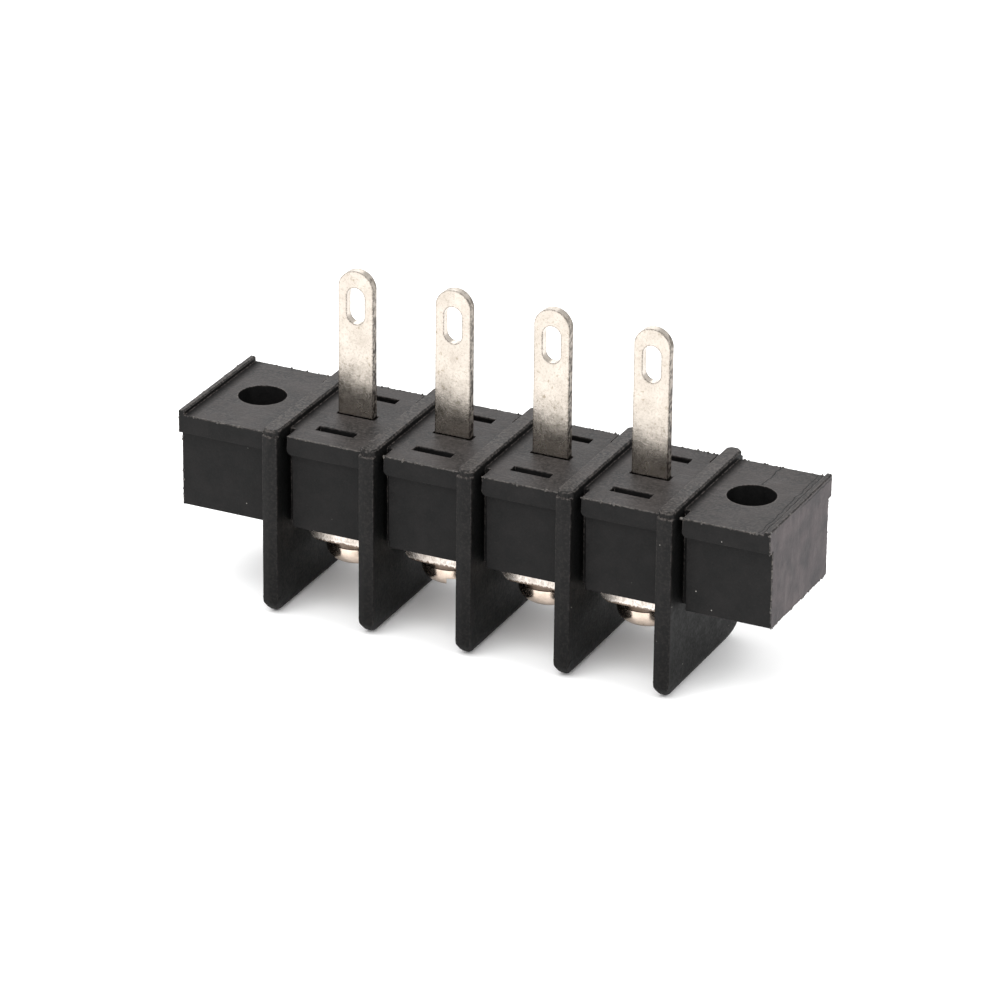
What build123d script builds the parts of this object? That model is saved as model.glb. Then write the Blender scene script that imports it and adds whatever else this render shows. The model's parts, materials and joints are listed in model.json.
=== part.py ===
from build123d import *
import os

# Barrier terminal block with eyelet solder tails, resting on its barrier tips with the tails up.
# X runs along the row of poles, -Y is the front, Z = 0 is the plane of the barrier tips.

# Row of poles
pitch = 9.5
poles = 4
row_offset = 0.2

# Housing body, with the flange that overhangs it on the board side
top_height = 17.25
seat_height = 8.25
flange_depth = 13.6
flange_height = 1.75
body_depth = 12.3

# Mounting ears
ear_length = 9.5
ear_hole_diameter = 4.4
ear_hole_from_barrier = 4.75
end_lip_width = 0.6
left_lip_height = 0.45
right_lip_height = 0.3
end_lip_chamfer = 0.12

# Barriers between the poles, each with a stand-off ridge on the board side
barrier_thickness = 1.5
barrier_depth = 15.6
nose_height = 0.2
tip_front_radius = 1.6
tip_back_radius = 2.0
tip_chamfer = 0.35
ridge_height = 0.65
ridge_setback = 0.2
ridge_end_chamfer = 0.4
ridge_chamfer = 0.15

# Clearance notch beside each barrier
notch_width = 0.75
notch_depth = 1.2
flange_gap = 0.55
flange_corner_radius = 0.5

# Contact pocket and its three tail slots
slot_width = 3.7
slot_depth = 0.95
slot_spacing = 4.1
floor_thickness = 2.0

# Contact, one folded strip
strip_thickness = 0.8
tail_width = 3.4
tail_length = 13.85
eye_width = 1.75
eye_length = 3.45
eye_from_tip = 3.3
fold_radius = 0.8
shelf_drop = 0.8
seat_width = 6.4
seat_length = 6.4

# Screw thread and the running gap round it
thread_diameter = 3.0
thread_gap = 0.05

# Wire clamp plate, a channel whose two edges are folded towards the contact
clamp_width = 6.5
clamp_length = 6.3
clamp_thickness = 0.8
clamp_height = 1.6
clamp_fold_radius = 1.0
clamp_hole_diameter = 3.4

# Split lock washer, pressed flat
washer_outer_diameter = 5.9
washer_inner_diameter = 3.2
washer_thickness = 0.5
washer_split = 0.5
washer_split_lean = 18.0
washer_turns = (150.0, 60.0, 115.0, 20.0)

# Pan head screw with a combined slot and cross drive
head_diameter = 5.6
head_height = 1.8
head_rim_height = 0.55
head_face_diameter = 3.5
screw_tip_clearance = 2.3
drive_slot_width = 0.8
drive_slot_depth = 0.7
cross_width = 0.6
cross_length = 2.6
cross_depth = 1.3
screw_turns = (140.0, 102.0, 165.0, 8.0)

# Derived places
half_row = pitch * poles / 2
half_length = half_row + ear_length
barrier_places = [index * pitch - half_row for index in range(poles + 1)]
pole_places = [place + pitch / 2 for place in barrier_places[:poles]]
flange_bottom = top_height - flange_height
pocket_top = top_height - floor_thickness
pocket_depth = 2 * slot_spacing + slot_depth
shelf_bottom = pocket_top - shelf_drop - strip_thickness
seat_bottom = seat_height - strip_thickness
clamp_bottom = seat_bottom - clamp_height
head_top = clamp_bottom - washer_thickness
head_bottom = head_top - head_height
screw_length = shelf_bottom - screw_tip_clearance - head_top
tail_tip = top_height + tail_length
overcut = 1.0

upward = (Align.CENTER, Align.CENTER, Align.MIN)
downward = (Align.CENTER, Align.CENTER, Align.MAX)


def slab(low_x, high_x, low_y, high_y, low_z, high_z):
    """A block between two corners."""
    size = Box(high_x - low_x, high_y - low_y, high_z - low_z, align=(Align.MIN,) * 3)
    return Pos(low_x, low_y, low_z) * size


def turned_round(shape):
    """The same shape turned half a turn about the middle of the block."""
    return Rot(0, 0, 180) * shape


def barrier():
    """One blade with creased front and back edges and a rounded tip, with its ridge."""
    side = Plane.YZ * Pos(0, top_height / 2) * Rectangle(barrier_depth, top_height)
    front_tip = side.vertices().group_by(Axis.Z)[0].sort_by(Axis.Y)[0]
    side = fillet(front_tip, tip_front_radius)
    back_tip = side.vertices().group_by(Axis.Z)[0].sort_by(Axis.Y)[-1]
    side = fillet(back_tip, tip_back_radius)
    blade = extrude(side, barrier_thickness / 2, both=True)

    half_width = barrier_thickness / 2
    half_depth = barrier_depth / 2
    shoulder = half_depth - nose_height
    plan_points = [
        (-half_width, -shoulder),
        (0, -half_depth),
        (half_width, -shoulder),
        (half_width, shoulder),
        (0, half_depth),
        (-half_width, shoulder),
    ]
    plan = make_face(Polyline(*plan_points, close=True))
    blade = blade & extrude(plan, top_height)

    section = Plane.XZ * Pos(0, top_height / 2) * Rectangle(barrier_thickness, top_height)
    section = chamfer(section.vertices().group_by(Axis.Z)[0], tip_chamfer)
    blade = blade & extrude(section, half_depth, both=True)

    ridge_length = barrier_depth - 2 * ridge_setback
    outline = Rectangle(barrier_thickness, ridge_length)
    outline = chamfer(outline.vertices(), ridge_end_chamfer)
    ridge = extrude(Pos(0, 0, top_height) * outline, ridge_height)
    ridge = chamfer(ridge.faces().sort_by(Axis.Z)[-1].edges(), ridge_chamfer)
    return blade + ridge


def flange_lip(low_x, high_x):
    """The front overhang of the flange over one bay, with its lower corner rounded at the notch."""
    width = high_x - low_x
    middle = ((low_x + high_x) / 2, flange_bottom + flange_height / 2)
    outline = Plane.XZ * Pos(*middle) * Rectangle(width, flange_height)
    if low_x > -half_length:
        corner = outline.vertices().group_by(Axis.Z)[0].sort_by(Axis.X)[0]
        outline = fillet(corner, flange_corner_radius)
    overhang = (flange_depth - body_depth) / 2
    return Pos(0, -body_depth / 2, 0) * extrude(outline, overhang)


def front_lips():
    """The front overhang between the barriers and over both ears."""
    lips = []
    left_ends = [-half_length] + [place + barrier_thickness / 2 + flange_gap for place in barrier_places]
    right_ends = [place - barrier_thickness / 2 for place in barrier_places] + [half_length]
    for low_x, high_x in zip(left_ends, right_ends):
        lips.append(flange_lip(low_x, high_x))
    return lips


def front_notches():
    """The notches beside the barriers, wider below the flange than through it."""
    notches = []
    back = -body_depth / 2 + notch_depth
    front = -flange_depth / 2
    for place in barrier_places:
        wall = place + barrier_thickness / 2
        notches.append(slab(wall, wall + notch_width, front, back, seat_height - overcut, flange_bottom))
        notches.append(slab(wall, wall + flange_gap, front, back, flange_bottom, top_height + overcut))
    return notches


def pocket(place):
    """The hollow of one pole: the contact pocket, which also clears the screw, and three tail slots."""
    hollow_height = pocket_top - seat_height + overcut
    hollow = Box(slot_width, pocket_depth, hollow_height, align=upward)
    hollow = Pos(place, row_offset, seat_height - overcut) * hollow
    for step in (-1, 0, 1):
        centre = Pos(place, row_offset + step * slot_spacing, top_height + overcut)
        hollow += centre * Box(slot_width, slot_depth, floor_thickness + 2 * overcut, align=downward)
    return hollow


def end_lip(height):
    """The raised lip along the right end of the board side face."""
    lip = slab(
        half_length - end_lip_width,
        half_length,
        -flange_depth / 2,
        flange_depth / 2,
        top_height,
        top_height + height,
    )
    return chamfer(lip.edges().filter_by(Axis.Y).group_by(Axis.Z)[-1], end_lip_chamfer)


def housing():
    """The one-piece moulding."""
    body = slab(-half_length, half_length, -body_depth / 2, body_depth / 2, seat_height, top_height)
    for lip in front_lips():
        body += lip
        body += turned_round(lip)
    for notch in front_notches():
        body -= notch
        body -= turned_round(notch)
    blade = barrier()
    for place in barrier_places:
        body += Pos(place, 0, 0) * blade
    body += end_lip(right_lip_height)
    body += turned_round(end_lip(left_lip_height))
    for place in pole_places:
        body -= pocket(place)
    hole_place = half_row + ear_hole_from_barrier
    for side in (-1, 1):
        hole = Cylinder(ear_hole_diameter / 2, top_height + 2 * overcut, align=upward)
        body -= Pos(side * hole_place, row_offset, 0) * hole
    return body


def contact():
    """One folded strip: tail with its eye, shelf, riser and tapped seat plate, on X = 0."""
    seat_middle = seat_bottom + strip_thickness / 2
    shelf_middle = shelf_bottom + strip_thickness / 2
    riser_y = row_offset + slot_spacing
    route = FilletPolyline(
        (0, row_offset, seat_middle),
        (0, riser_y, seat_middle),
        (0, riser_y, shelf_middle),
        (0, row_offset, shelf_middle),
        (0, row_offset, tail_tip),
        radius=fold_radius,
    )
    start = Plane(origin=route @ 0, x_dir=(1, 0, 0), z_dir=route % 0)
    strip = sweep(start * Rectangle(tail_width, strip_thickness), path=route)

    straight_height = tail_tip - tail_width / 2
    outline = Pos(0, straight_height / 2) * Rectangle(tail_width, straight_height)
    outline += Pos(0, straight_height) * Circle(tail_width / 2)
    strip = strip & extrude(Plane.XZ * outline, barrier_depth, both=True)
    eye = Pos(0, tail_tip - eye_from_tip) * SlotOverall(eye_length, eye_width, rotation=90)
    strip -= extrude(Plane.XZ * eye, barrier_depth, both=True)

    seat = Pos(0, row_offset, seat_bottom) * Box(seat_width, seat_length, strip_thickness, align=upward)
    tapped_radius = thread_diameter / 2 + thread_gap
    tapped_hole = Cylinder(tapped_radius, strip_thickness + 2 * overcut, align=upward)
    return strip + seat - Pos(0, row_offset, seat_bottom - overcut) * tapped_hole


def clamp_plate():
    """The channel-shaped clamp plate under the contact, on X = 0."""
    outer = Pos(0, clamp_height / 2) * Rectangle(clamp_width, clamp_height)
    outer = fillet(outer.vertices().group_by(Axis.Y)[0], clamp_fold_radius)
    inner_width = clamp_width - 2 * clamp_thickness
    inner = Pos(0, clamp_thickness + clamp_height / 2) * Rectangle(inner_width, clamp_height)
    inner = fillet(inner.vertices().group_by(Axis.Y)[0], clamp_fold_radius - clamp_thickness)
    channel = extrude(Plane.XZ * (outer - inner), clamp_length / 2, both=True)
    channel -= Cylinder(clamp_hole_diameter / 2, clamp_height, align=upward)
    return Pos(0, row_offset, clamp_bottom) * channel


def lock_washer(turn):
    """The split ring between clamp plate and screw head, on X = 0."""
    ring = Circle(washer_outer_diameter / 2) - Circle(washer_inner_diameter / 2)
    washer = extrude(ring, washer_thickness)
    gap = Box(washer_outer_diameter, washer_split, 2 * washer_thickness)
    lean = Rot(washer_split_lean, 0, 0)
    washer -= Pos(washer_outer_diameter / 2, 0, washer_thickness / 2) * (lean * gap)
    return Pos(0, row_offset, head_top) * (Rot(0, 0, turn) * washer)


def screw(turn):
    """The pan head screw, head down, with its crown turned in two cones, on X = 0."""
    head_radius = head_diameter / 2
    face_radius = head_face_diameter / 2
    rim = head_height - head_rim_height
    crown = TangentArc((head_radius, rim), (face_radius, 0), tangent=(0, -1))
    section = Polyline(
        (0, head_height),
        (head_radius, head_height),
        crown @ 0,
        crown @ 0.5,
        crown @ 1,
        (0, 0),
        close=True,
    )
    head = revolve(Plane.XZ * make_face(section), Axis.Z)

    shank = Pos(0, 0, head_height) * Cylinder(thread_diameter / 2, screw_length, align=upward)

    slot = Box(head_diameter, drive_slot_width, 2 * drive_slot_depth)
    cross = Rectangle(cross_length, cross_width) + Rectangle(cross_width, cross_length)
    cross = extrude(cross, cross_depth)
    piece = head + shank - slot - cross
    return Pos(0, row_offset, head_bottom) * (Rot(0, 0, turn) * piece)


def save(shape, node):
    """Write one node as a STEP file of its own."""
    shape.label = node
    export_step(shape, f"parts/{node}.step")


os.makedirs("parts", exist_ok=True)
save(housing(), "housing")
for number, place in enumerate(pole_places, start=1):
    across = Pos(place, 0, 0)
    save(across * contact(), f"contact_{number}")
    save(across * clamp_plate(), f"clamp_plate_{number}")
    save(across * lock_washer(washer_turns[(number - 1) % len(washer_turns)]), f"lock_washer_{number}")
    save(across * screw(screw_turns[(number - 1) % len(screw_turns)]), f"screw_{number}")
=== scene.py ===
import json
import math

import bmesh
import bpy
from mathutils import Matrix, Vector

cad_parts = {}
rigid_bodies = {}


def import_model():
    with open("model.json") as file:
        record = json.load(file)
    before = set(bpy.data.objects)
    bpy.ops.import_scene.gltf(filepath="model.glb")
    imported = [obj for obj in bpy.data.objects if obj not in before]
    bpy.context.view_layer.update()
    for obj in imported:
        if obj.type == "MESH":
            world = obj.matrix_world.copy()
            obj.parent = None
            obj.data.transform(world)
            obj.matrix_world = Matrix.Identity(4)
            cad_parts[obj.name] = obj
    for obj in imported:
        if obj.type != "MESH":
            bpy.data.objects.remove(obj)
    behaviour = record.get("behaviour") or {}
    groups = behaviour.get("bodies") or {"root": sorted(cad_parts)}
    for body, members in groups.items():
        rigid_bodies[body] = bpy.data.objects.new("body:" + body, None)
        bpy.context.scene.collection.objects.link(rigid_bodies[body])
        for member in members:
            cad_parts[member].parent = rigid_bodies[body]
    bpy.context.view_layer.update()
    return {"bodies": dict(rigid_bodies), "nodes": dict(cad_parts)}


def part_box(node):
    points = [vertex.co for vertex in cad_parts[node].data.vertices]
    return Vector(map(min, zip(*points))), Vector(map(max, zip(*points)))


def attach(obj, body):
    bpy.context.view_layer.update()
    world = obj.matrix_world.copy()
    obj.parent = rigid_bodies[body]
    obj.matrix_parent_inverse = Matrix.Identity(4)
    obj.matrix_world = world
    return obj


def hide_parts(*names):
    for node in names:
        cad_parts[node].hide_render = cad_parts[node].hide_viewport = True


# Barrier terminal block: black moulding, tinned solder tails, nickel-plated clamps and screws.
# Every size is in metres. X runs along the row, -Y is the front, Z = 0 is the table.

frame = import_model()
MM = 0.001

POLES = ("1", "2", "3", "4")
SCREW_TURNS = (140, 113, 165, 8)
BODIES = frame["bodies"]
NODES = frame["nodes"]

# The moulding, in millimetres
PITCH = 9.5
BARRIER_PLACES = [number * PITCH for number in (-2, -1, 0, 1, 2)]
BARRIER_THICKNESS = 1.5
TOP_HEIGHT = 17.25
RIM_DEPTH = 6.8
EAR_HOLE_PLACE = 23.75
HALF_LENGTH = 28.5
EYE_HEIGHT = 27.8
CLAMP_BASE = 5.85
HEAD_FACE = 3.55

# Camera, fitted to the photograph
VIEW_AZIMUTH = 25.331
VIEW_ELEVATION = 24.882
VIEW_ROLL = -0.584
VIEW_DISTANCE = 516.8 * MM
VIEW_TARGET = Vector((0, 0, 10.5 * MM))
VIEW_LENS = 211.29
VIEW_SHIFT = (-0.00116, 0.01521)


def linear(hex_colour):
    """An sRGB hex colour as linear red, green, blue and alpha."""
    channels = []
    for start in (1, 3, 5):
        value = int(hex_colour[start:start + 2], 16) / 255
        channels.append(value / 12.92 if value <= 0.04045 else ((value + 0.055) / 1.055) ** 2.4)
    return (*channels, 1.0)


def per_mm(size):
    """The texture scale that gives features of this many millimetres on Object coordinates."""
    return 1 / (size * MM)


def add(tree, kind, inputs=None, **settings):
    """Add one node. Inputs are given by name or number, as a value or as an output to link."""
    node = tree.nodes.new(kind)
    for name, value in settings.items():
        setattr(node, name, value)
    for key, value in (inputs or {}).items():
        if isinstance(value, bpy.types.NodeSocket):
            tree.links.new(value, node.inputs[key])
        else:
            node.inputs[key].default_value = value
    return node


def blend_colour(tree, factor, first, second, mode="MIX"):
    """Mix two colours, each a hex value or an output."""
    node = add(tree, "ShaderNodeMix", data_type="RGBA", blend_type=mode)
    for index, value in ((0, factor), (6, first), (7, second)):
        if isinstance(value, str):
            value = linear(value)
        if isinstance(value, bpy.types.NodeSocket):
            tree.links.new(value, node.inputs[index])
        else:
            node.inputs[index].default_value = value
    return node.outputs[2]


def step(tree, value, low, high, out_low=0.0, out_high=1.0):
    """Spread a value from low to high over a new range, held at both ends."""
    inputs = {"Value": value, "From Min": low, "From Max": high, "To Min": out_low, "To Max": out_high}
    return add(tree, "ShaderNodeMapRange", inputs).outputs["Result"]


def maths(tree, operation, first, second=0.0):
    return add(tree, "ShaderNodeMath", {0: first, 1: second}, operation=operation).outputs[0]


def new_material(name):
    """An empty node material, with its tree, output node and Object coordinates."""
    material = bpy.data.materials.new(name)
    material.use_nodes = True
    tree = material.node_tree
    tree.nodes.clear()
    output = add(tree, "ShaderNodeOutputMaterial")
    place = add(tree, "ShaderNodeTexCoord")
    return material, tree, output, place


def noise(tree, place, size, detail=3.0, roughness=0.55, stretch=None, seed=0.0):
    """Noise with features of a size in millimetres, drawn out along an axis by stretch."""
    vector = place
    if stretch or seed:
        inputs = {"Vector": place, "Scale": stretch or (1, 1, 1), "Location": (seed, seed, seed)}
        vector = add(tree, "ShaderNodeMapping", inputs).outputs[0]
    inputs = {"Vector": vector, "Scale": per_mm(size), "Detail": detail, "Roughness": roughness}
    return add(tree, "ShaderNodeTexNoise", inputs).outputs["Fac"]


def specks(tree, place, spacing, radius, share):
    """Small round spots, one in some of the cells of a 3-D grid: 1 inside a spot, 0 outside."""
    inputs = {"Vector": place, "Scale": per_mm(spacing)}
    cells = add(tree, "ShaderNodeTexVoronoi", inputs)
    inside = step(tree, cells.outputs["Distance"], radius / spacing, 0.6 * radius / spacing)
    chosen = add(tree, "ShaderNodeSeparateColor", {0: cells.outputs["Color"]}).outputs[0]
    return maths(tree, "MULTIPLY", inside, maths(tree, "LESS_THAN", chosen, share))


def worn_edges(tree, radius):
    """1 along convex and concave edges, 0 on flat faces."""
    rounded = add(tree, "ShaderNodeBevel", {"Radius": radius * MM}, samples=6).outputs[0]
    flat = add(tree, "ShaderNodeNewGeometry").outputs["Normal"]
    turned = add(tree, "ShaderNodeVectorMath", {0: rounded, 1: flat}, operation="DOT_PRODUCT")
    return step(tree, turned.outputs["Value"], 0.995, 0.9)


def band(tree, value, middle, width):
    """1 where a value in metres is within half a width in millimetres of the middle, soft at the edge."""
    away = maths(tree, "ABSOLUTE", maths(tree, "SUBTRACT", value, middle * MM))
    return step(tree, away, 0.6 * width * MM, 0.3 * width * MM)


def product(tree, *values):
    """All the values multiplied together."""
    result = values[0]
    for value in values[1:]:
        result = maths(tree, "MULTIPLY", result, value)
    return result


def from_middle(tree, along, places):
    """How far a place is, along X, from the nearest barrier or contact, in metres with its sign."""
    shift = maths(tree, "ADD", along, (PITCH / 2 - places) * MM)
    turn = maths(tree, "FLOORED_MODULO", shift, PITCH * MM)
    return maths(tree, "SUBTRACT", turn, PITCH / 2 * MM)


def moulded_pbt():
    """Black PBT straight from the mould: near black and satin on its sides, glossier on the top, where
    light grazes a brown-grey mottling; the top's colour is paler than the sides' as a painted sheen.
    Painted shade darkens the walls that face along the row, the barriers near the table and the walls
    of the slots and holes, and a painted shadow darkens the top beside each ridge. The edges are
    rubbed grey, with a knit line behind the right ear hole and some white dust."""
    material, tree, output, coords = new_material("black PBT, moulded")
    place = coords.outputs["Object"]
    axes = add(tree, "ShaderNodeSeparateXYZ", {0: place}).outputs
    facing = add(tree, "ShaderNodeSeparateXYZ", {0: coords.outputs["Normal"]}).outputs
    upward = step(tree, facing["Z"], 0.6, 0.95)
    cloud = noise(tree, place, 1.9, detail=6.0, roughness=0.62)
    grain = noise(tree, place, 0.26, detail=3.0, roughness=0.7, seed=3.0)
    flow = noise(tree, place, 0.5, detail=3.0, stretch=(0.16, 1, 1), seed=9.0)
    side = blend_colour(tree, step(tree, cloud, 0.36, 0.66), "#141414", "#1d1c1c")
    side = blend_colour(tree, step(tree, grain, 0.52, 0.74, 0.0, 0.4), side, "#292726")
    # Painted shade: the walls that face along the row, shaded between the barriers, are darkened.
    wall = step(tree, maths(tree, "ABSOLUTE", facing["X"]), 0.75, 0.95, 0.0, 0.9)
    side = blend_colour(tree, wall, side, "#070707")
    away = maths(tree, "ABSOLUTE", axes["Y"])
    # Painted shade: the barriers darken low down, towards the table.
    foot = product(tree, step(tree, away, 6.3 * MM, 6.6 * MM), step(tree, axes["Z"], 9.0 * MM, 3.5 * MM))
    side = blend_colour(tree, product(tree, foot, 0.6), side, "#050505")
    # Painted shade: the walls of the slots and holes in the top are darkened, as in a recess.
    inside = product(tree, step(tree, away, 5.6 * MM, 5.3 * MM), step(tree, axes["Z"], 15.0 * MM, 15.3 * MM))
    side = blend_colour(tree, product(tree, inside, 0.45), side, "#030303")
    # The top is a paler copy of the side colour: a painted sheen over a real brown-grey mottling.
    patch = noise(tree, place, 4.5, detail=4.0, roughness=0.55, seed=31.0)
    top = blend_colour(tree, step(tree, cloud, 0.4, 0.6), "#101010", "#2c2a29")
    top = blend_colour(tree, step(tree, patch, 0.42, 0.6, 0.0, 0.6), top, "#363231")
    top = blend_colour(tree, step(tree, grain, 0.46, 0.6, 0.0, 0.8), top, "#423e3d")
    top = blend_colour(tree, step(tree, flow, 0.6, 0.72, 0.0, 0.3), top, "#504c4b")
    colour = blend_colour(tree, upward, side, top)

    ridge = step(tree, axes["Z"], (TOP_HEIGHT + 0.3) * MM, (TOP_HEIGHT + 0.45) * MM)
    nose = step(tree, axes["Y"], -(RIM_DEPTH + 0.1) * MM, -(RIM_DEPTH + 0.3) * MM, 0.0, 0.15)
    stipple = product(tree, maths(tree, "MAXIMUM", ridge, nose), step(tree, grain, 0.48, 0.58, 0.0, 0.5))
    colour = blend_colour(tree, stipple, colour, "#4e4a47")

    # Painted shadow: a dark band on the top along the right side of each ridge.
    offset = from_middle(tree, axes["X"], 0.0)
    edge = BARRIER_THICKNESS / 2
    shade = maths(tree, "GREATER_THAN", offset, (edge - 0.1) * MM)
    shade = product(tree, shade, step(tree, offset, (edge + 0.9) * MM, (edge + 0.15) * MM), upward)
    colour = blend_colour(tree, product(tree, shade, 0.85), colour, "#060606")

    sway = step(tree, noise(tree, place, 1.2, seed=21.0), 0.3, 0.7, -0.12 * MM, 0.12 * MM)
    knit = band(tree, maths(tree, "ADD", axes["X"], sway), EAR_HOLE_PLACE, 0.15)
    knit = product(tree, knit, upward, step(tree, axes["Y"], 1.0 * MM, 1.6 * MM))
    colour = blend_colour(tree, product(tree, knit, 0.9), colour, "#040404")

    scored = band(tree, maths(tree, "ADD", axes["X"], sway), HALF_LENGTH - 1.15, 0.13)
    second = band(tree, maths(tree, "ADD", axes["X"], sway), HALF_LENGTH - 0.8, 0.1)
    scored = product(tree, maths(tree, "MAXIMUM", scored, second), upward)
    colour = blend_colour(tree, product(tree, scored, 0.8), colour, "#070707")

    worn = step(tree, grain, 0.47, 0.56, 0.1, 1.0)
    sheltered = step(tree, band(tree, axes["Z"], TOP_HEIGHT - 1.75, 0.7), 0.0, 1.0, 1.0, 0.1)
    handled = step(tree, axes["Z"], 9.0 * MM, 15.0 * MM, 0.3, 1.0)
    beside = step(tree, maths(tree, "ABSOLUTE", offset), (edge + 0.4) * MM, (edge + 0.6) * MM)
    beside = product(tree, beside, step(tree, maths(tree, "ABSOLUTE", offset), (edge + 2.2) * MM, (edge + 1.9) * MM))
    beside = product(tree, beside, step(tree, axes["Z"], (TOP_HEIGHT - 0.3) * MM, (TOP_HEIGHT - 0.5) * MM))
    beside = step(tree, beside, 0.0, 1.0, 1.0, 0.15)
    rubbed = product(tree, worn_edges(tree, 0.2), worn, sheltered, handled, beside)
    colour = blend_colour(tree, rubbed, colour, "#5b5653")
    dust = product(tree, specks(tree, place, 1.4, 0.068, 0.4), maths(tree, "SUBTRACT", 1.0, upward))
    colour = blend_colour(tree, dust, colour, "#908d88")
    rough = step(tree, upward, 0.0, 1.0, 0.56, 0.49)
    rough = maths(tree, "ADD", rough, step(tree, cloud, 0.3, 0.7, -0.05, 0.07))
    rough = maths(tree, "ADD", rough, step(tree, grain, 0.35, 0.65, -0.06, 0.08))
    rough = maths(tree, "ADD", rough, product(tree, shade, 0.2))
    height = maths(tree, "ADD", grain, product(tree, flow, 0.15))
    height = maths(tree, "ADD", height, product(tree, cloud, 1.5))
    height = maths(tree, "SUBTRACT", height, product(tree, maths(tree, "MAXIMUM", knit, scored), 0.8))
    height = product(tree, height, step(tree, wall, 0.0, 0.9, 1.0, 0.35))
    bump = add(tree, "ShaderNodeBump", {"Strength": 0.7, "Distance": 0.05 * MM, "Height": height})
    inputs = {
        "Base Color": colour,
        "Roughness": rough,
        "Specular IOR Level": 0.12,
        "Normal": bump.outputs[0],
    }
    shader = add(tree, "ShaderNodeBsdfPrincipled", inputs)
    tree.links.new(shader.outputs[0], output.inputs[0])
    return material


def cut_pbt():
    """The same PBT where the strip was cut to length: torn and dull, so paler, with drag marks down
    the face and a painted shadow line under the turned-over lip."""
    material, tree, output, coords = new_material("black PBT, cut end")
    place = coords.outputs["Object"]
    axes = add(tree, "ShaderNodeSeparateXYZ", {0: place}).outputs
    tear = noise(tree, place, 2.4, detail=7.0, roughness=0.68)
    drag = noise(tree, place, 0.8, detail=5.0, stretch=(1, 1, 0.3), seed=5.0)
    nicks = noise(tree, place, 0.25, detail=2.0, seed=13.0)
    colour = blend_colour(tree, step(tree, tear, 0.36, 0.62), "#2f2c2e", "#463f40")
    colour = blend_colour(tree, step(tree, drag, 0.5, 0.7, 0.0, 0.25), colour, "#625b5a")
    colour = blend_colour(tree, step(tree, nicks, 0.64, 0.74, 0.0, 0.7), colour, "#242122")
    # Painted shadow: a dark wavering line under the turned-over lip.
    sway = step(tree, noise(tree, place, 0.7, seed=27.0), 0.3, 0.7, -0.09 * MM, 0.09 * MM)
    painted_lip_shadow = band(tree, maths(tree, "ADD", axes["Z"], sway), TOP_HEIGHT - 0.05, 0.14)
    painted_lip_shadow = product(tree, painted_lip_shadow, step(tree, axes["Y"], -1.0 * MM, 1.5 * MM))
    colour = blend_colour(tree, painted_lip_shadow, colour, "#0c0b0b")
    height = maths(tree, "ADD", tear, maths(tree, "MULTIPLY", nicks, 0.4))
    height = maths(tree, "ADD", height, maths(tree, "MULTIPLY", drag, 0.15))
    bump = add(tree, "ShaderNodeBump", {"Strength": 0.8, "Distance": 0.08 * MM, "Height": height})
    inputs = {
        "Base Color": colour,
        "Roughness": 0.68,
        "Specular IOR Level": 0.3,
        "Normal": bump.outputs[0],
    }
    shader = add(tree, "ShaderNodeBsdfPrincipled", inputs)
    tree.links.new(shader.outputs[0], output.inputs[0])
    return material


def flash_pbt():
    """Flash, the thin skin of PBT that squeezed out where the mould halves met: rubbed grey-brown
    and slightly shiny, so its top catches a thin light line."""
    material, tree, output, coords = new_material("black PBT, flash")
    place = coords.outputs["Object"]
    grain = noise(tree, place, 0.3, detail=3.0, seed=17.0)
    colour = blend_colour(tree, step(tree, grain, 0.4, 0.65), "#242120", "#57524d")
    rough = step(tree, grain, 0.35, 0.65, 0.42, 0.6)
    bump = add(tree, "ShaderNodeBump", {"Strength": 0.5, "Distance": 0.03 * MM, "Height": grain})
    inputs = {"Base Color": colour, "Roughness": rough, "Normal": bump.outputs[0]}
    shader = add(tree, "ShaderNodeBsdfPrincipled", inputs)
    tree.links.new(shader.outputs[0], output.inputs[0])
    return material


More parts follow.
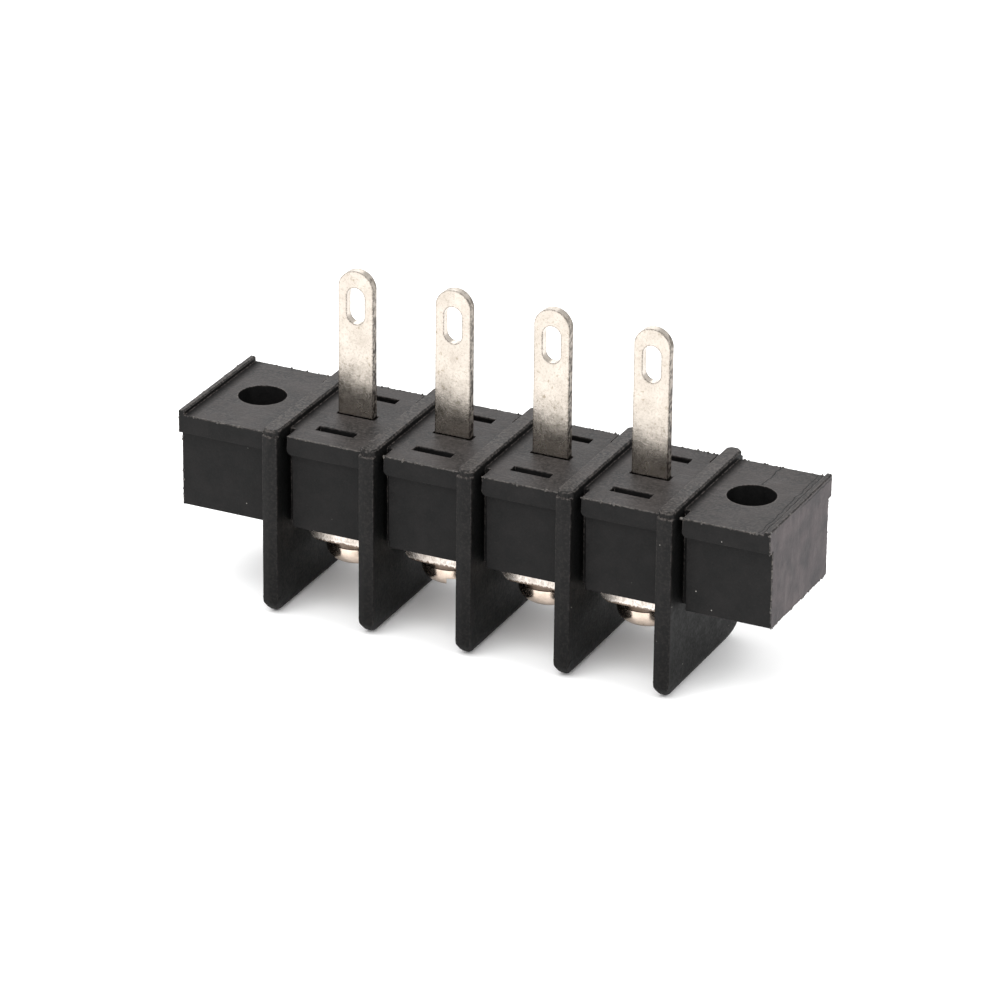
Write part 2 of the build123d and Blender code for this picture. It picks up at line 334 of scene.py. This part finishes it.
def tinned_brass():
    """Stamped brass strip with bright tin: warm silver, peppered with small dark pits that crowd near
    the moulding, a fine dark line round its edges, dark pitted sides where the die sheared it, and
    a dark line where it enters the moulding. Towards the moulding it is painted darker, a painted
    reflection of the black moulding, with dark blotches there."""
    material, tree, output, coords = new_material("brass strip, bright tinned")
    place = coords.outputs["Object"]
    axes = add(tree, "ShaderNodeSeparateXYZ", {0: place}).outputs
    streaks = noise(tree, place, 0.35, detail=4.0, stretch=(1, 1, 0.25))
    cloud = noise(tree, place, 1.6, detail=6.0, roughness=0.65, seed=7.0)
    pits = noise(tree, place, 0.22, detail=3.0, roughness=0.65, seed=11.0)
    spots = noise(tree, place, 0.5, detail=4.0, roughness=0.6, seed=15.0)
    colour = blend_colour(tree, step(tree, cloud, 0.35, 0.68), "#cec5bb", "#bfb6ab")
    colour = blend_colour(tree, step(tree, streaks, 0.56, 0.75, 0.0, 0.35), colour, "#b3a89c")
    fewer = step(tree, axes["Z"], (TOP_HEIGHT + 6.5) * MM, (TOP_HEIGHT + 4.5) * MM, 0.55, 1.0)
    pitted = product(tree, step(tree, pits, 0.52, 0.64, 0.0, 0.65), fewer)
    colour = blend_colour(tree, pitted, colour, "#90877a")
    colour = blend_colour(tree, step(tree, spots, 0.62, 0.7, 0.0, 0.6), colour, "#8d8069")
    # Painted reflection of the black moulding: the tail darkens towards it, with dark blotches there.
    low = step(tree, axes["Z"], (TOP_HEIGHT + 6.0) * MM, (TOP_HEIGHT + 3.2) * MM)
    crowded = step(tree, axes["Z"], (TOP_HEIGHT + 0.8) * MM, (TOP_HEIGHT + 2.4) * MM, 0.25, 1.0)
    low = product(tree, low, crowded)
    blotches_near_moulding = step(tree, maths(tree, "ADD", spots, product(tree, low, 0.06)), 0.5, 0.72, 0.0, 0.45)
    colour = blend_colour(tree, product(tree, blotches_near_moulding, low), colour, "#5e5b54")
    colour = blend_colour(tree, product(tree, low, 0.16), colour, "#706e69")

    across = add(tree, "ShaderNodeSeparateXYZ", {0: coords.outputs["Normal"]}).outputs["Y"]
    middle = maths(tree, "ABSOLUTE", from_middle(tree, axes["X"], PITCH / 2))
    eye = product(tree, step(tree, middle, 1.35 * MM, 1.15 * MM), band(tree, axes["Z"], EYE_HEIGHT, 8.0))
    outside = step(tree, eye, 0.0, 1.0, 1.0, 0.12)
    tail = maths(tree, "GREATER_THAN", axes["Z"], (TOP_HEIGHT - 1.0) * MM)
    sheared = step(tree, maths(tree, "ABSOLUTE", across), 0.75, 0.35)
    sheared = product(tree, sheared, outside, tail)
    depth = step(tree, axes["Z"], (EYE_HEIGHT + 1.5) * MM, (EYE_HEIGHT - 4.0) * MM, 0.75, 1.0)
    torn = product(tree, sheared, depth, step(tree, spots, 0.44, 0.56, 0.5, 1.0))
    colour = blend_colour(tree, torn, colour, "#37312b")
    line = product(tree, worn_edges(tree, 0.24), step(tree, pits, 0.38, 0.54, 0.35, 0.85))
    colour = blend_colour(tree, line, colour, "#433c35")
    entry = band(tree, axes["Z"], TOP_HEIGHT, 0.2)
    colour = blend_colour(tree, product(tree, entry, step(tree, pits, 0.4, 0.5, 0.5, 1.0)), colour, "#14110f")
    rough = step(tree, cloud, 0.3, 0.7, 0.2, 0.3)
    rough = maths(tree, "ADD", rough, maths(tree, "MULTIPLY", sheared, 0.25))
    relief = maths(tree, "ADD", maths(tree, "MULTIPLY", streaks, 0.5), pits)
    bump = add(tree, "ShaderNodeBump", {"Strength": 0.4, "Distance": 0.016 * MM, "Height": relief})
    inputs = {"Base Color": colour, "Metallic": 1.0, "Roughness": rough, "Normal": bump.outputs[0]}
    shader = add(tree, "ShaderNodeBsdfPrincipled", inputs)
    tree.links.new(shader.outputs[0], output.inputs[0])
    return material


def plated_steel(name, light, dark, smooth, dull, marks):
    """Nickel-plated steel: slightly warm, with rough and smooth patches from the tumbling barrel, and
    marks in a darker tone from the given function: real torn flecks on the clamps, painted shade on
    the clamps and washers, and a painted reflection on the screw heads."""
    material, tree, output, coords = new_material(name)
    place = coords.outputs["Object"]
    patches = noise(tree, place, 0.8, detail=4.0)
    colour = blend_colour(tree, step(tree, patches, 0.35, 0.7), light, dark)
    for factor, tone in marks(tree, coords):
        colour = blend_colour(tree, factor, colour, tone)
    rough = step(tree, patches, 0.3, 0.7, smooth, dull)
    bump = add(tree, "ShaderNodeBump", {"Strength": 0.3, "Distance": 0.015 * MM, "Height": patches})
    inputs = {"Base Color": colour, "Metallic": 1.0, "Roughness": rough, "Normal": bump.outputs[0]}
    shader = add(tree, "ShaderNodeBsdfPrincipled", inputs)
    tree.links.new(shader.outputs[0], output.inputs[0])
    return material


def sheared_strip(tree, coords):
    """A clamp's edge: smooth where the punch went in, torn above, with a painted brown shade line on its lower
    corner.
    """
    height = add(tree, "ShaderNodeSeparateXYZ", {0: coords.outputs["Object"]}).outputs["Z"]
    facing = add(tree, "ShaderNodeSeparateXYZ", {0: coords.outputs["Normal"]}).outputs["Z"]
    edge = step(tree, maths(tree, "ABSOLUTE", facing), 0.7, 0.4)
    flecks = noise(tree, coords.outputs["Object"], 0.2, detail=3.0, stretch=(1, 1, 0.5), seed=4.0)
    border = step(tree, flecks, 0.3, 0.7, -0.1 * MM, 0.1 * MM)
    height = maths(tree, "ADD", height, border)
    torn = step(tree, height, (CLAMP_BASE + 0.32) * MM, (CLAMP_BASE + 0.4) * MM)
    yield product(tree, edge, torn, step(tree, flecks, 0.44, 0.6, 0.0, 0.5)), "#9c9086"
    # Painted shade: brown along the lower corner of the edge.
    corner = step(tree, height, (CLAMP_BASE + 0.2) * MM, (CLAMP_BASE + 0.1) * MM)
    yield product(tree, corner, 0.85), "#5a4534"


def painted_washer_shade(tree, coords):
    """A split washer: bright on one side of its split, with painted brown shade on the other and a painted dark
    shadow line along its lower face.
    """
    axes = add(tree, "ShaderNodeSeparateXYZ", {0: coords.outputs["Object"]}).outputs
    shade_wobble = noise(tree, coords.outputs["Object"], 0.5, detail=3.0, seed=6.0)
    # Painted shade: brown on the left side, with a wobbling edge, and a dark painted shadow line below.
    across = maths(tree, "ADD", from_middle(tree, axes["X"], PITCH / 2), step(tree, shade_wobble, 0.3, 0.7, 0.0, 0.4 * MM))
    yield step(tree, across, -0.9 * MM, -0.6 * MM, 0.0, 0.85), "#4c3829"
    yield band(tree, axes["Z"], CLAMP_BASE - 0.5, 0.16), "#2c2018"


def painted_head_reflection(tree, coords):
    """A pan head: a painted brown reflection towards its lower edge and in its drive."""
    height = add(tree, "ShaderNodeSeparateXYZ", {0: coords.outputs["Object"]}).outputs["Z"]
    # Painted reflection: the head turns brown towards its lower edge.
    yield step(tree, height, (HEAD_FACE + 0.5) * MM, (HEAD_FACE + 0.05) * MM, 0.0, 0.85), "#74543d"


def welded(mesh):
    """A mesh's triangles joined up into whole flat faces."""
    work = bmesh.new()
    work.from_mesh(mesh)
    bmesh.ops.remove_doubles(work, verts=work.verts, dist=0.0005 * MM)
    bmesh.ops.dissolve_limit(
        work, angle_limit=math.radians(0.5), verts=work.verts, edges=work.edges
    )
    return work


def refine(node, material, body, width):
    """A dressed copy of a CAD node: welded, with small rounded edges and even shading."""
    mesh = NODES[node].data.copy()
    mesh.materials.clear()
    mesh.materials.append(material)
    work = welded(mesh)
    for face in work.faces:
        face.material_index = 0
        face.smooth = True
    if node == "housing":
        round_tips(work)
    round_edges(work, width * MM)
    work.to_mesh(mesh)
    work.free()
    piece = bpy.data.objects.new(f"{node}_piece", mesh)
    bpy.context.scene.collection.objects.link(piece)
    shade_evenly(piece)
    dress(piece, body, node)
    return piece


def round_tips(work):
    """Round the foot of each barrier across its thickness, like a tongue."""
    half, radius, top = BARRIER_THICKNESS / 2 * MM, 0.68 * MM, 1.7 * MM
    everything = work.verts[:] + work.edges[:] + work.faces[:]
    bmesh.ops.bisect_plane(work, geom=everything, plane_co=(0, 0, top), plane_no=(0, 0, 1))
    middles = [middle * MM for middle in BARRIER_PLACES]
    for middle in middles:
        for shift in (-0.7, -0.6, -0.45, -0.25, 0.25, 0.45, 0.6, 0.7):
            near = [f for f in work.faces if f.calc_center_median().z < top * 0.999]
            near = [f for f in near if abs(f.calc_center_median().x - middle) < 2 * half]
            parts = set(near)
            for face in near:
                parts.update(face.verts)
                parts.update(face.edges)
            cut = (middle + shift * MM, 0, 0)
            bmesh.ops.bisect_plane(work, geom=list(parts), plane_co=cut, plane_no=(1, 0, 0))
    for vert in work.verts:
        if vert.co.z < top:
            middle = min(middles, key=lambda place: abs(vert.co.x - place))
            offset = vert.co.x - middle
            side = max(0.0, abs(offset) - (half - radius))
            lift = radius - math.sqrt(max(0.0, radius ** 2 - side ** 2))
            near_foot = 1 - vert.co.z / top
            vert.co.x = middle + offset * (1 - 0.22 * near_foot ** 2)
            vert.co.z += lift * near_foot


def face_width(face):
    """About how wide a face is: its area over its longest edge."""
    return face.calc_area() / max(edge.calc_length() for edge in face.edges)


def round_edges(work, width):
    """Round the outer edges that are long enough and have room on both sides."""
    chosen = []
    for edge in work.edges:
        if len(edge.link_faces) != 2 or not edge.is_convex:
            continue
        turn = edge.calc_face_angle(0)
        room = min(face_width(face) for face in edge.link_faces)
        if turn > math.radians(40) and edge.calc_length() > 5 * width and room > 2.5 * width:
            chosen.append(edge)
    bmesh.ops.bevel(
        work, geom=chosen, offset=width, segments=2, profile=0.5, affect="EDGES", clamp_overlap=False
    )


def shade_evenly(piece):
    """Keep flat faces flat and let the curved ones shade smoothly, then bake."""
    mesh = piece.data
    sharp = math.radians(35)
    work = bmesh.new()
    work.from_mesh(mesh)
    for edge in work.edges:
        edge.smooth = len(edge.link_faces) == 2 and edge.calc_face_angle(0) < sharp
    work.to_mesh(mesh)
    work.free()
    normals = piece.modifiers.new("even normals", "WEIGHTED_NORMAL")
    normals.keep_sharp = True
    normals.weight = 100
    bake(piece)


def bake(piece):
    """Turn a piece and its modifiers into one plain mesh."""
    graph = bpy.context.evaluated_depsgraph_get()
    mesh = bpy.data.meshes.new_from_object(piece.evaluated_get(graph))
    piece.modifiers.clear()
    piece.data = mesh


def dress(piece, body, node=None):
    """Let a finished piece ride on its body and take its place."""
    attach(piece, body)
    if node:
        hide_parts(node)


def plain_object(name, verts, faces, edges=()):
    """A linked mesh object from points in millimetres."""
    mesh = bpy.data.meshes.new(name)
    mesh.from_pydata([[value * MM for value in point] for point in verts], list(edges), list(faces))
    piece = bpy.data.objects.new(name, mesh)
    bpy.context.scene.collection.objects.link(piece)
    return piece


def turned_solid(name, profile, segments):
    """A solid of revolution about Z from radius and height pairs, from the bottom to the top."""
    verts, faces = [], []
    for radius, height in profile:
        for number in range(segments):
            angle = 2 * math.pi * number / segments
            verts.append((radius * math.cos(angle), radius * math.sin(angle), height))
    for row in range(len(profile) - 1):
        for number in range(segments):
            a = row * segments + number
            b = row * segments + (number + 1) % segments
            faces.append((a, b, b + segments, a + segments))
    last = (len(profile) - 1) * segments
    faces.append(tuple(range(segments - 1, -1, -1)))
    faces.append(tuple(range(last, last + segments)))
    return plain_object(name, verts, faces)


def tapered_bar(name, length, width, depth, taper):
    """A bar along X from below Z = 0 up to its depth, narrower towards the top by the taper."""
    verts = []
    for height, shrink in ((-0.5, 0.0), (depth, taper)):
        x, y = length / 2 - shrink, width / 2 - shrink
        verts += [(-x, -y, height), (x, -y, height), (x, y, height), (-x, y, height)]
    faces = [(3, 2, 1, 0), (4, 5, 6, 7), (0, 1, 5, 4), (1, 2, 6, 5), (2, 3, 7, 6), (3, 0, 4, 7)]
    return plain_object(name, verts, faces)


def screw_head():
    """The pan head, drive side down at Z = 0, with its slot and cross cut out."""
    arc_radius, arc_middle = 1.269, (1.531, 1.25)
    profile = [(1.2, 0.0)]
    for number in range(9):
        angle = math.radians(-80 + 10 * number)
        height = arc_middle[1] + arc_radius * math.sin(angle)
        profile.append((arc_middle[0] + arc_radius * math.cos(angle), height))
    profile += [(2.8, 1.72), (2.72, 1.8)]
    head = turned_solid("head", profile, 72)
    slot = tapered_bar("drive slot", 6.0, 1.0, 0.95, 0.02)
    first = tapered_bar("cross bar", 2.6, 0.6, 1.3, 0.12)
    second = tapered_bar("cross bar", 2.6, 0.6, 1.3, 0.12)
    second.data.transform(Matrix.Rotation(math.pi / 2, 4, "Z"))
    for cutter in (slot, first, second):
        cut = head.modifiers.new("drive", "BOOLEAN")
        cut.operation = "DIFFERENCE"
        cut.solver = "EXACT"
        cut.object = cutter
    edges = head.modifiers.new("tumbled edges", "BEVEL")
    edges.width = 0.05 * MM
    edges.segments = 2
    edges.limit_method = "ANGLE"
    edges.angle_limit = math.radians(40)
    bake(head)
    for cutter in (slot, first, second):
        bpy.data.objects.remove(cutter)
    return head


def thread_tree():
    """Geometry nodes: a shank with a rolled V thread, up from the origin along Z."""
    tree = bpy.data.node_groups.new("rolled thread", "GeometryNodeTree")
    face = tree.interface
    face.new_socket("Geometry", in_out="INPUT", socket_type="NodeSocketGeometry")
    face.new_socket("Geometry", in_out="OUTPUT", socket_type="NodeSocketGeometry")
    for name in ("Radius", "Length", "Pitch", "Depth"):
        face.new_socket(name, in_out="INPUT", socket_type="NodeSocketFloat")
    face.new_socket("Material", in_out="INPUT", socket_type="NodeSocketMaterial")
    given = add(tree, "NodeGroupInput").outputs
    shank = add(
        tree,
        "GeometryNodeMeshCylinder",
        {"Vertices": 40, "Side Segments": 96, "Radius": 1.0, "Depth": given["Length"]},
    )
    place = add(tree, "GeometryNodeInputPosition").outputs[0]
    axes = add(tree, "ShaderNodeSeparateXYZ", {0: place}).outputs
    height = maths(tree, "ADD", axes["Z"], maths(tree, "MULTIPLY", given["Length"], 0.5))
    turn = maths(tree, "DIVIDE", maths(tree, "ARCTAN2", axes["Y"], axes["X"]), 2 * math.pi)
    phase = maths(tree, "SUBTRACT", maths(tree, "DIVIDE", height, given["Pitch"]), turn)
    wave = maths(tree, "ABSOLUTE", maths(tree, "SUBTRACT", maths(tree, "FRACT", phase), 0.5))
    groove = step(tree, wave, 0.06, 0.44)
    radius = maths(tree, "SUBTRACT", given["Radius"], maths(tree, "MULTIPLY", groove, given["Depth"]))
    left = maths(tree, "SUBTRACT", given["Length"], height)
    point = maths(tree, "ADD", maths(tree, "SUBTRACT", given["Radius"], given["Depth"]), left)
    radius = maths(tree, "MINIMUM", radius, point)
    parts = {
        "X": maths(tree, "MULTIPLY", axes["X"], radius),
        "Y": maths(tree, "MULTIPLY", axes["Y"], radius),
        "Z": height,
    }
    moved = add(tree, "ShaderNodeCombineXYZ", parts).outputs[0]
    cut = add(tree, "GeometryNodeSetPosition", {"Geometry": shank.outputs["Mesh"], "Position": moved})
    solid = add(tree, "GeometryNodeRealizeInstances", {0: cut.outputs[0]})
    coat = add(
        tree, "GeometryNodeSetMaterial", {"Geometry": solid.outputs[0], "Material": given["Material"]}
    )
    add(tree, "NodeGroupOutput", {0: coat.outputs[0]})
    return tree


def flash_paths():
    """The edges that carry flash: the rim of the top and the outline of both ends."""
    work = welded(NODES["housing"].data)
    points, lines = [], []
    for edge in work.edges:
        if len(edge.link_faces) != 2 or not edge.is_convex:
            continue
        middle = (edge.verts[0].co + edge.verts[1].co) / (2 * MM)
        on_rim = abs(middle.z - TOP_HEIGHT) < 0.02 and abs(abs(middle.y) - RIM_DEPTH) < 0.02
        on_end = abs(middle.x) > HALF_LENGTH - 0.02
        if edge.calc_face_angle(0) > math.radians(40) and (on_rim or on_end):
            lines.append((len(points), len(points) + 1))
            for vert in edge.verts:
                x, y, z = vert.co / MM
                points.append((x * (1 - 0.06 / HALF_LENGTH), y * (1 - 0.05 / RIM_DEPTH), z - 0.04))
    work.free()
    paths = plain_object("flash", points, [], lines)
    work = bmesh.new()
    work.from_mesh(paths.data)
    bmesh.ops.remove_doubles(work, verts=work.verts, dist=0.002 * MM)
    work.to_mesh(paths.data)
    work.free()
    return paths


def flash_tree():
    """Geometry nodes: an uneven bead of flash along each edge, with small burrs standing on it."""
    tree = bpy.data.node_groups.new("moulding flash", "GeometryNodeTree")
    face = tree.interface
    face.new_socket("Geometry", in_out="INPUT", socket_type="NodeSocketGeometry")
    face.new_socket("Geometry", in_out="OUTPUT", socket_type="NodeSocketGeometry")
    for name in ("Bead Radius", "Wander", "Step", "Burr Spacing", "Burr Size", "Half Length"):
        face.new_socket(name, in_out="INPUT", socket_type="NodeSocketFloat")
    face.new_socket("Material", in_out="INPUT", socket_type="NodeSocketMaterial")
    given = add(tree, "NodeGroupInput").outputs
    line = add(tree, "GeometryNodeMeshToCurve", {"Mesh": given["Geometry"]}).outputs[0]
    place = add(tree, "GeometryNodeInputPosition").outputs[0]
    inputs = {"Vector": place, "Scale": per_mm(0.45), "Detail": 3.0}
    ripple = add(tree, "ShaderNodeTexNoise", inputs).outputs
    centred = add(tree, "ShaderNodeVectorMath", {0: ripple["Color"], 1: (0.5, 0.5, 0.5)}, operation="SUBTRACT")
    drift = {0: centred.outputs[0], "Scale": maths(tree, "MULTIPLY", given["Wander"], 2.0)}
    offset = add(tree, "ShaderNodeVectorMath", drift, operation="SCALE").outputs[0]

    fine = {"Curve": line, "Length": given["Step"]}
    bead = add(tree, "GeometryNodeResampleCurve", fine, mode="LENGTH").outputs[0]
    bead = add(tree, "GeometryNodeSetPosition", {"Geometry": bead, "Offset": offset}).outputs[0]
    swell = step(tree, ripple["Fac"], 0.35, 0.65, 0.35, 1.5)
    section = {"Resolution": 6, "Radius": given["Bead Radius"]}
    section = add(tree, "GeometryNodeCurvePrimitiveCircle", section).outputs[0]
    inputs = {"Curve": bead, "Profile Curve": section, "Scale": swell, "Fill Caps": True}
    bead = add(tree, "GeometryNodeCurveToMesh", inputs).outputs[0]

    coarse = {"Curve": line, "Length": given["Burr Spacing"]}
    spots = add(tree, "GeometryNodeResampleCurve", coarse, mode="LENGTH").outputs[0]
    spots = add(tree, "GeometryNodeSetPosition", {"Geometry": spots, "Offset": offset}).outputs[0]
    crumb = add(tree, "GeometryNodeMeshIcoSphere", {"Radius": 1.0, "Subdivisions": 1}).outputs[0]
    chance = add(tree, "FunctionNodeRandomValue", {"Seed": 5}, data_type="FLOAT").outputs[1]
    size = maths(tree, "MULTIPLY", maths(tree, "POWER", chance, 3.0), given["Burr Size"])
    size = maths(tree, "ADD", size, given["Bead Radius"])
    whole_turns = {0: (0, 0, 0), 1: (2 * math.pi,) * 3, "Seed": 11}
    turn = add(tree, "FunctionNodeRandomValue", whole_turns, data_type="FLOAT_VECTOR").outputs[0]
    shape = {"X": maths(tree, "MULTIPLY", size, 1.5), "Y": size, "Z": maths(tree, "MULTIPLY", size, 0.8)}
    shape = add(tree, "ShaderNodeCombineXYZ", shape).outputs[0]
    inputs = {"Points": spots, "Instance": crumb, "Scale": shape, "Rotation": turn}
    burrs = add(tree, "GeometryNodeInstanceOnPoints", inputs).outputs[0]

    both = add(tree, "GeometryNodeJoinGeometry")
    for part in (bead, burrs):
        tree.links.new(part, both.inputs[0])
    solid = add(tree, "GeometryNodeRealizeInstances", {0: both.outputs[0]}).outputs[0]
    at = add(tree, "ShaderNodeSeparateXYZ", {0: place}).outputs
    below = maths(tree, "MINIMUM", at["X"], given["Half Length"])
    held = maths(tree, "MAXIMUM", below, maths(tree, "MULTIPLY", given["Half Length"], -1.0))
    held = add(tree, "ShaderNodeCombineXYZ", {"X": held, "Y": at["Y"], "Z": at["Z"]}).outputs[0]
    solid = add(tree, "GeometryNodeSetPosition", {"Geometry": solid, "Position": held})
    coat = {"Geometry": solid.outputs[0], "Material": given["Material"]}
    coat = add(tree, "GeometryNodeSetMaterial", coat)
    add(tree, "NodeGroupOutput", {0: coat.outputs[0]})
    return tree


def grow(name, tree, base, inputs):
    """A new object whose mesh a geometry tree makes from the base, baked to a plain mesh."""
    piece = base or plain_object(name, [], [])
    modifier = piece.modifiers.new(name, "NODES")
    modifier.node_group = tree
    for item in tree.interface.items_tree:
        if item.in_out == "INPUT" and item.name in inputs:
            modifier[item.identifier] = inputs[item.name]
    bake(piece)
    return piece


def screw_piece(pole, head, threads, material, place, turn):
    """One clamp screw: the head and the threaded shank joined, turned as the photograph shows."""
    mesh = head.data.copy()
    mesh.materials.clear()
    mesh.materials.append(material)
    sizes = {"Radius": 1.5 * MM, "Length": 6.0 * MM, "Pitch": 0.5 * MM, "Depth": 0.28 * MM}
    shank = grow("shank", threads, None, {**sizes, "Material": material})
    shank.data.transform(Matrix.Translation((0, 0, 1.8 * MM)))
    work = bmesh.new()
    work.from_mesh(mesh)
    work.from_mesh(shank.data)
    for part in work.faces:
        part.smooth = True
        part.material_index = 0
    spin = Matrix.Rotation(math.radians(turn), 4, "Z")
    work.transform(Matrix.Translation(place) @ spin)
    work.to_mesh(mesh)
    work.free()
    bpy.data.objects.remove(shank)
    piece = bpy.data.objects.new(f"screw_{pole}_piece", mesh)
    bpy.context.scene.collection.objects.link(piece)
    shade_evenly(piece)
    dress(piece, f"screw_{pole}", f"screw_{pole}")


def stage_floor():
    """A white table that keeps the shadows and shows white behind the block."""
    material, tree, output, _ = new_material("white table")
    path = add(tree, "ShaderNodeLightPath")
    seen = maths(tree, "MAXIMUM", path.outputs["Is Camera Ray"], path.outputs["Is Glossy Ray"])
    paint = add(tree, "ShaderNodeBsdfDiffuse", {"Color": linear("#ffffff")})
    glow = add(tree, "ShaderNodeEmission", {"Strength": maths(tree, "MULTIPLY", seen, 0.025)})
    both = add(tree, "ShaderNodeAddShader", {0: paint.outputs[0], 1: glow.outputs[0]})
    tree.links.new(both.outputs[0], output.inputs[0])
    mesh = bpy.data.meshes.new("table")
    side = 4.0
    corners = [(-side, -side, 0), (side, -side, 0), (side, side, 0), (-side, side, 0)]
    mesh.from_pydata(corners, [], [(0, 1, 2, 3)])
    mesh.materials.append(material)
    floor = bpy.data.objects.new("table", mesh)
    bpy.context.scene.collection.objects.link(floor)


def studio_world():
    """White all round for the camera and for reflections, and a soft fill for the light."""
    world = bpy.data.worlds.new("studio")
    bpy.context.scene.world = world
    world.use_nodes = True
    tree = world.node_tree
    tree.nodes.clear()
    path = add(tree, "ShaderNodeLightPath")
    seen = maths(tree, "MAXIMUM", path.outputs["Is Camera Ray"], path.outputs["Is Glossy Ray"])
    seen = maths(tree, "MAXIMUM", seen, path.outputs["Is Transmission Ray"])
    strength = step(tree, seen, 0.0, 1.0, 0.95, 1.0)
    background = add(tree, "ShaderNodeBackground", {"Color": (1, 1, 1, 1), "Strength": strength})
    output = add(tree, "ShaderNodeOutputWorld")
    tree.links.new(background.outputs[0], output.inputs[0])


def softbox(name, azimuth, elevation, distance, size, watts):
    """A square area lamp that looks at the block from one direction."""
    a, e = math.radians(azimuth), math.radians(elevation)
    back = Vector((math.sin(a) * math.cos(e), -math.cos(a) * math.cos(e), math.sin(e)))
    lamp = bpy.data.lights.new(name, "AREA")
    lamp.shape = "SQUARE"
    lamp.size = size
    lamp.energy = watts
    box = bpy.data.objects.new(name, lamp)
    box.location = VIEW_TARGET + back * distance
    box.rotation_mode = "QUATERNION"
    box.rotation_quaternion = back.to_track_quat("Z", "Y")
    bpy.context.scene.collection.objects.link(box)


def photo_camera():
    """The camera at the photograph's place, turned a little about its own axis."""
    a, e, r = (math.radians(v) for v in (VIEW_AZIMUTH, VIEW_ELEVATION, VIEW_ROLL))
    back = Vector((math.sin(a) * math.cos(e), -math.cos(a) * math.cos(e), math.sin(e)))
    level = Vector((math.cos(a), math.sin(a), 0))
    upright = back.cross(level)
    right = level * math.cos(r) - upright * math.sin(r)
    up = level * math.sin(r) + upright * math.cos(r)
    turn = Matrix((right, up, back)).transposed()
    data = bpy.data.cameras.new("photo camera")
    data.sensor_width = 36
    data.lens = VIEW_LENS
    data.shift_x, data.shift_y = VIEW_SHIFT
    data.clip_start, data.clip_end = 0.01, 20
    camera = bpy.data.objects.new("photo camera", data)
    camera.matrix_world = Matrix.Translation(VIEW_TARGET + back * VIEW_DISTANCE) @ turn.to_4x4()
    bpy.context.scene.collection.objects.link(camera)
    bpy.context.scene.camera = camera


# Materials
pbt = moulded_pbt()
pbt_end = cut_pbt()
pbt_flash = flash_pbt()
tin = tinned_brass()
clamp_steel = plated_steel(
    "steel clamp, nickel plated", "#f6ede5", "#d2c8be", 0.19, 0.32, sheared_strip
)
washer_steel = plated_steel(
    "spring steel, nickel plated", "#d6cfc7", "#aca398", 0.22, 0.36, painted_washer_shade
)
screw_steel = plated_steel("screw, nickel plated", "#efdccc", "#d2c0af", 0.14, 0.28, painted_head_reflection)

# Flash along the moulding's edges
flash_sizes = {
    "Bead Radius": 0.045 * MM,
    "Wander": 0.06 * MM,
    "Step": 0.15 * MM,
    "Burr Spacing": 0.3 * MM,
    "Burr Size": 0.115 * MM,
    "Half Length": (HALF_LENGTH - 0.002) * MM,
    "Material": pbt_flash,
}
flash = grow("flash", flash_tree(), flash_paths(), flash_sizes)
dress(flash, "root")

# Moulding, with its two cut ends
block = refine("housing", pbt, "root", 0.09)
block.data.materials.append(pbt_end)
for polygon in block.data.polygons:
    if abs(polygon.center.x) > (HALF_LENGTH - 0.05) * MM and abs(polygon.normal.x) > 0.95:
        polygon.material_index = 1

for pole in POLES:
    refine(f"contact_{pole}", tin, "root", 0.06)
    refine(f"clamp_plate_{pole}", clamp_steel, f"clamp_{pole}", 0.08)
    refine(f"lock_washer_{pole}", washer_steel, f"clamp_{pole}", 0.05)

# Screws
head = screw_head()
threads = thread_tree()
for pole, turn in zip(POLES, SCREW_TURNS):
    low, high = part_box(f"screw_{pole}")
    place = Vector(((low.x + high.x) / 2, (low.y + high.y) / 2, low.z))
    screw_piece(pole, head, threads, screw_steel, place, turn)
bpy.data.objects.remove(head)

# Studio
stage_floor()
studio_world()
softbox("back left softbox", 215, 32, 0.36, 0.28, 0.4)
softbox("front left softbox", 345, 58, 0.9, 0.7, 5.8)
softbox("right softbox", 95, 36, 0.9, 0.7, 4)
photo_camera()
bpy.context.scene.view_settings.view_transform = "Standard"
